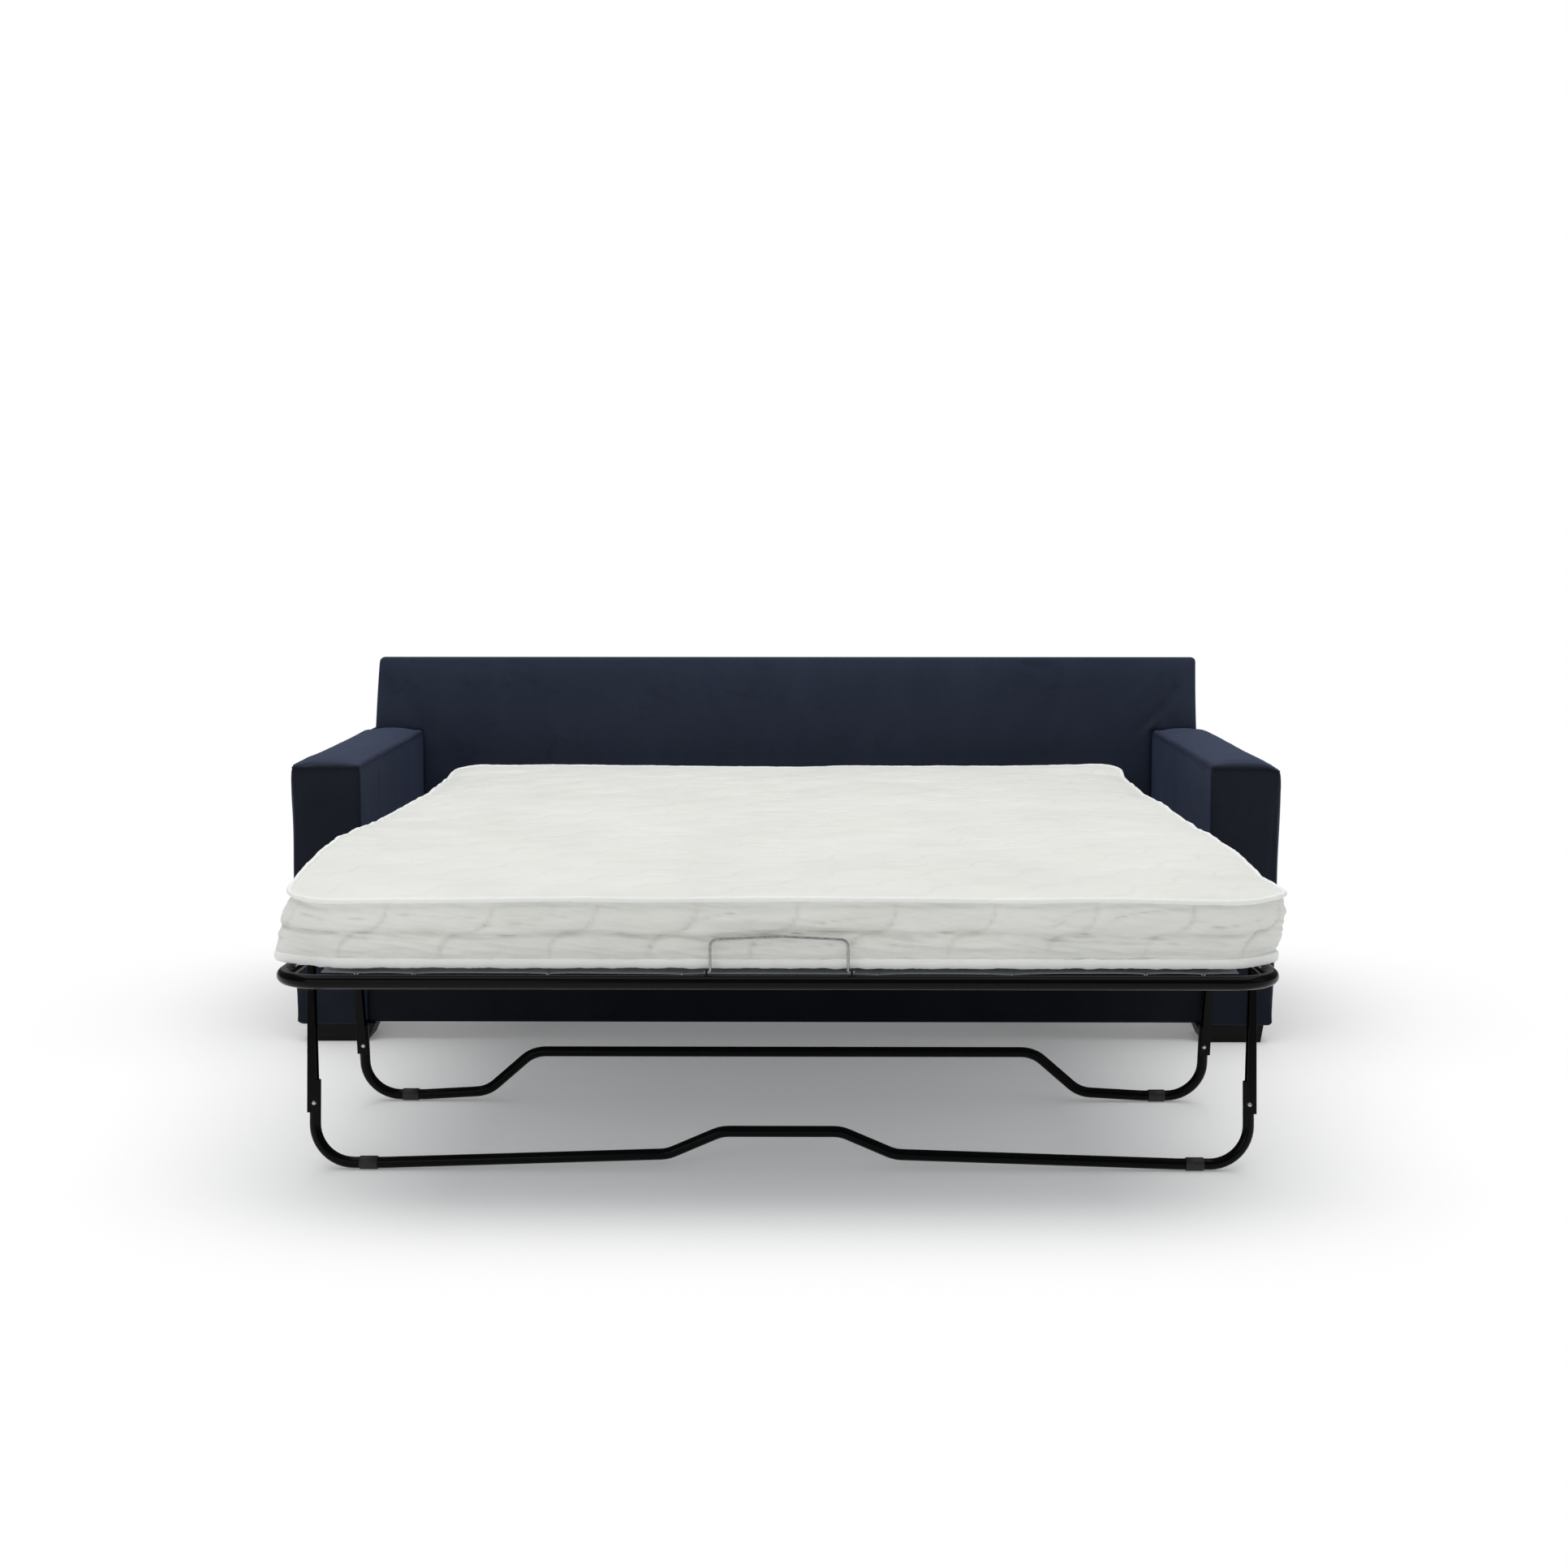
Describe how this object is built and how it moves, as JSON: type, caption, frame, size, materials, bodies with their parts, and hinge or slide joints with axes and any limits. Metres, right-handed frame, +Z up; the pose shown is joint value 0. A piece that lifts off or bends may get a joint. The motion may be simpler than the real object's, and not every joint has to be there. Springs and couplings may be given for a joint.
{
  "type": "pull-out sofa bed",
  "caption": "Upholstered sofa shell with its bed pulled out: quilted mattress on a black tube frame with two folding U legs, parallel swing links, wire mattress retainer and block feet.",
  "frame": {"origin": "on the floor under the middle of the opened sofa bed (the centre of its bounding box, at its underside)", "axes": "+X to the right seen from the bed's foot end, +Y from the bed's foot end to the sofa back, +Z up"},
  "size_m": [2.022, 2.231, 0.75],
  "materials": {
    "velvet": "matte",
    "arm_top_velvet": "matte",
    "pine": "matte",
    "foot_black": "satin",
    "zinc": "satin",
    "glide_plastic": "matte",
    "deck_fabric": "matte",
    "ticking": "matte",
    "black_steel": "gloss"
  },
  "bodies": {
    "sofa": {"arm_left": "velvet", "arm_right": "velvet", "arm_pad_left": "arm_top_velvet", "arm_pad_right": "arm_top_velvet", "back": "velvet", "front_rail": "velvet", "rear_rail": "pine", "rear_panel": "velvet", "foot_front_left": "foot_black", "foot_front_right": "foot_black", "foot_rear_left": "foot_black", "foot_rear_right": "foot_black", "side_bracket_left": "black_steel", "side_bracket_right": "black_steel"},
    "rear_links": {"rear_link_left": "black_steel", "rear_link_right": "black_steel"},
    "front_links": {"front_link_left": "black_steel", "front_link_right": "black_steel"},
    "body_section": {"body_frame": "black_steel", "body_deck": "deck_fabric", "mattress_body": "ticking", "link_plate_left": "black_steel", "link_plate_right": "black_steel", "knee_hinge_pin_left": "zinc", "knee_hinge_pin_right": "zinc", "head_hinge_pin_left": "zinc", "head_hinge_pin_right": "zinc", "mid_leg_bolt_left": "zinc", "mid_leg_bolt_right": "zinc"},
    "knee_section": {"knee_frame": "black_steel", "knee_deck": "deck_fabric", "mattress_knee": "ticking"},
    "foot_section": {"foot_frame": "black_steel", "foot_deck": "deck_fabric", "mattress_foot": "ticking", "foot_hinge_pin_left": "zinc", "foot_hinge_pin_right": "zinc", "front_leg_bolt_left": "zinc", "front_leg_bolt_right": "zinc"},
    "head_section": {"head_frame": "black_steel", "head_deck": "deck_fabric", "mattress_head": "ticking"},
    "mid_leg": {"mid_leg_tube": "black_steel", "mid_leg_channel_left": "black_steel", "mid_leg_channel_right": "black_steel", "mid_leg_rivet_left": "zinc", "mid_leg_rivet_right": "zinc", "mid_leg_glide_left": "glide_plastic", "mid_leg_glide_right": "glide_plastic"},
    "front_leg": {"front_leg_tube": "black_steel", "front_leg_channel_left": "black_steel", "front_leg_channel_right": "black_steel", "front_leg_rivet_left": "zinc", "front_leg_rivet_right": "zinc", "front_leg_glide_left": "glide_plastic", "front_leg_glide_right": "glide_plastic"},
    "bail": {"mattress_bail": "zinc"}
  },
  "joints": [
    {"name": "stow_swing", "type": "hinge", "parent": "sofa", "child": "rear_links", "pos_m": [0, 0.46242, 0.16509], "axis": [-1, 0, 0], "range_deg": [0, 150]},
    {"name": "front_link_swing", "type": "hinge", "parent": "sofa", "child": "front_links", "pos_m": [0, 0.35342, 0.20509], "axis": [-1, 0, 0], "range_deg": [0, 150]},
    {"name": "body_level", "type": "hinge", "parent": "rear_links", "child": "body_section", "pos_m": [0, 0.1783, 0.37], "axis": [1, 0, 0], "range_deg": [0, 150]},
    {"name": "knee_fold", "type": "hinge", "parent": "body_section", "child": "knee_section", "pos_m": [0, -0.3697, 0.39], "axis": [-1, 0, 0], "range_deg": [0, 90], "deforming": ["mattress_body", "mattress_knee"]},
    {"name": "foot_fold", "type": "hinge", "parent": "knee_section", "child": "foot_section", "pos_m": [0, -0.6947, 0.39], "axis": [-1, 0, 0], "range_deg": [0, 90], "deforming": ["mattress_foot"]},
    {"name": "head_fold", "type": "hinge", "parent": "body_section", "child": "head_section", "pos_m": [0, 0.2053, 0.39], "axis": [1, 0, 0], "range_deg": [0, 90], "deforming": ["mattress_head"]},
    {"name": "mid_leg_fold", "type": "hinge", "parent": "body_section", "child": "mid_leg", "pos_m": [0, -0.3497, 0.34], "axis": [1, 0, 0], "range_deg": [0, 86.5]},
    {"name": "front_leg_fold", "type": "hinge", "parent": "foot_section", "child": "front_leg", "pos_m": [0, -0.7147, 0.36], "axis": [-1, 0, 0], "range_deg": [0, 83]},
    {"name": "bail_swing", "type": "hinge", "parent": "foot_section", "child": "bail", "pos_m": [0, -1.1047, 0.4055], "axis": [1, 0, 0], "range_deg": [0, 25]}
  ],
  "couplings": [
    {"joint": "front_link_swing", "follows": "stow_swing", "ratio": 1},
    {"joint": "body_level", "follows": "stow_swing", "ratio": 1},
    {"joint": "knee_fold", "follows": "stow_swing", "ratio": 0.6},
    {"joint": "foot_fold", "follows": "stow_swing", "ratio": 0.6},
    {"joint": "head_fold", "follows": "stow_swing", "ratio": 0.6},
    {"joint": "mid_leg_fold", "follows": "stow_swing", "ratio": 0.5766},
    {"joint": "front_leg_fold", "follows": "stow_swing", "ratio": 0.5533}
  ]
}
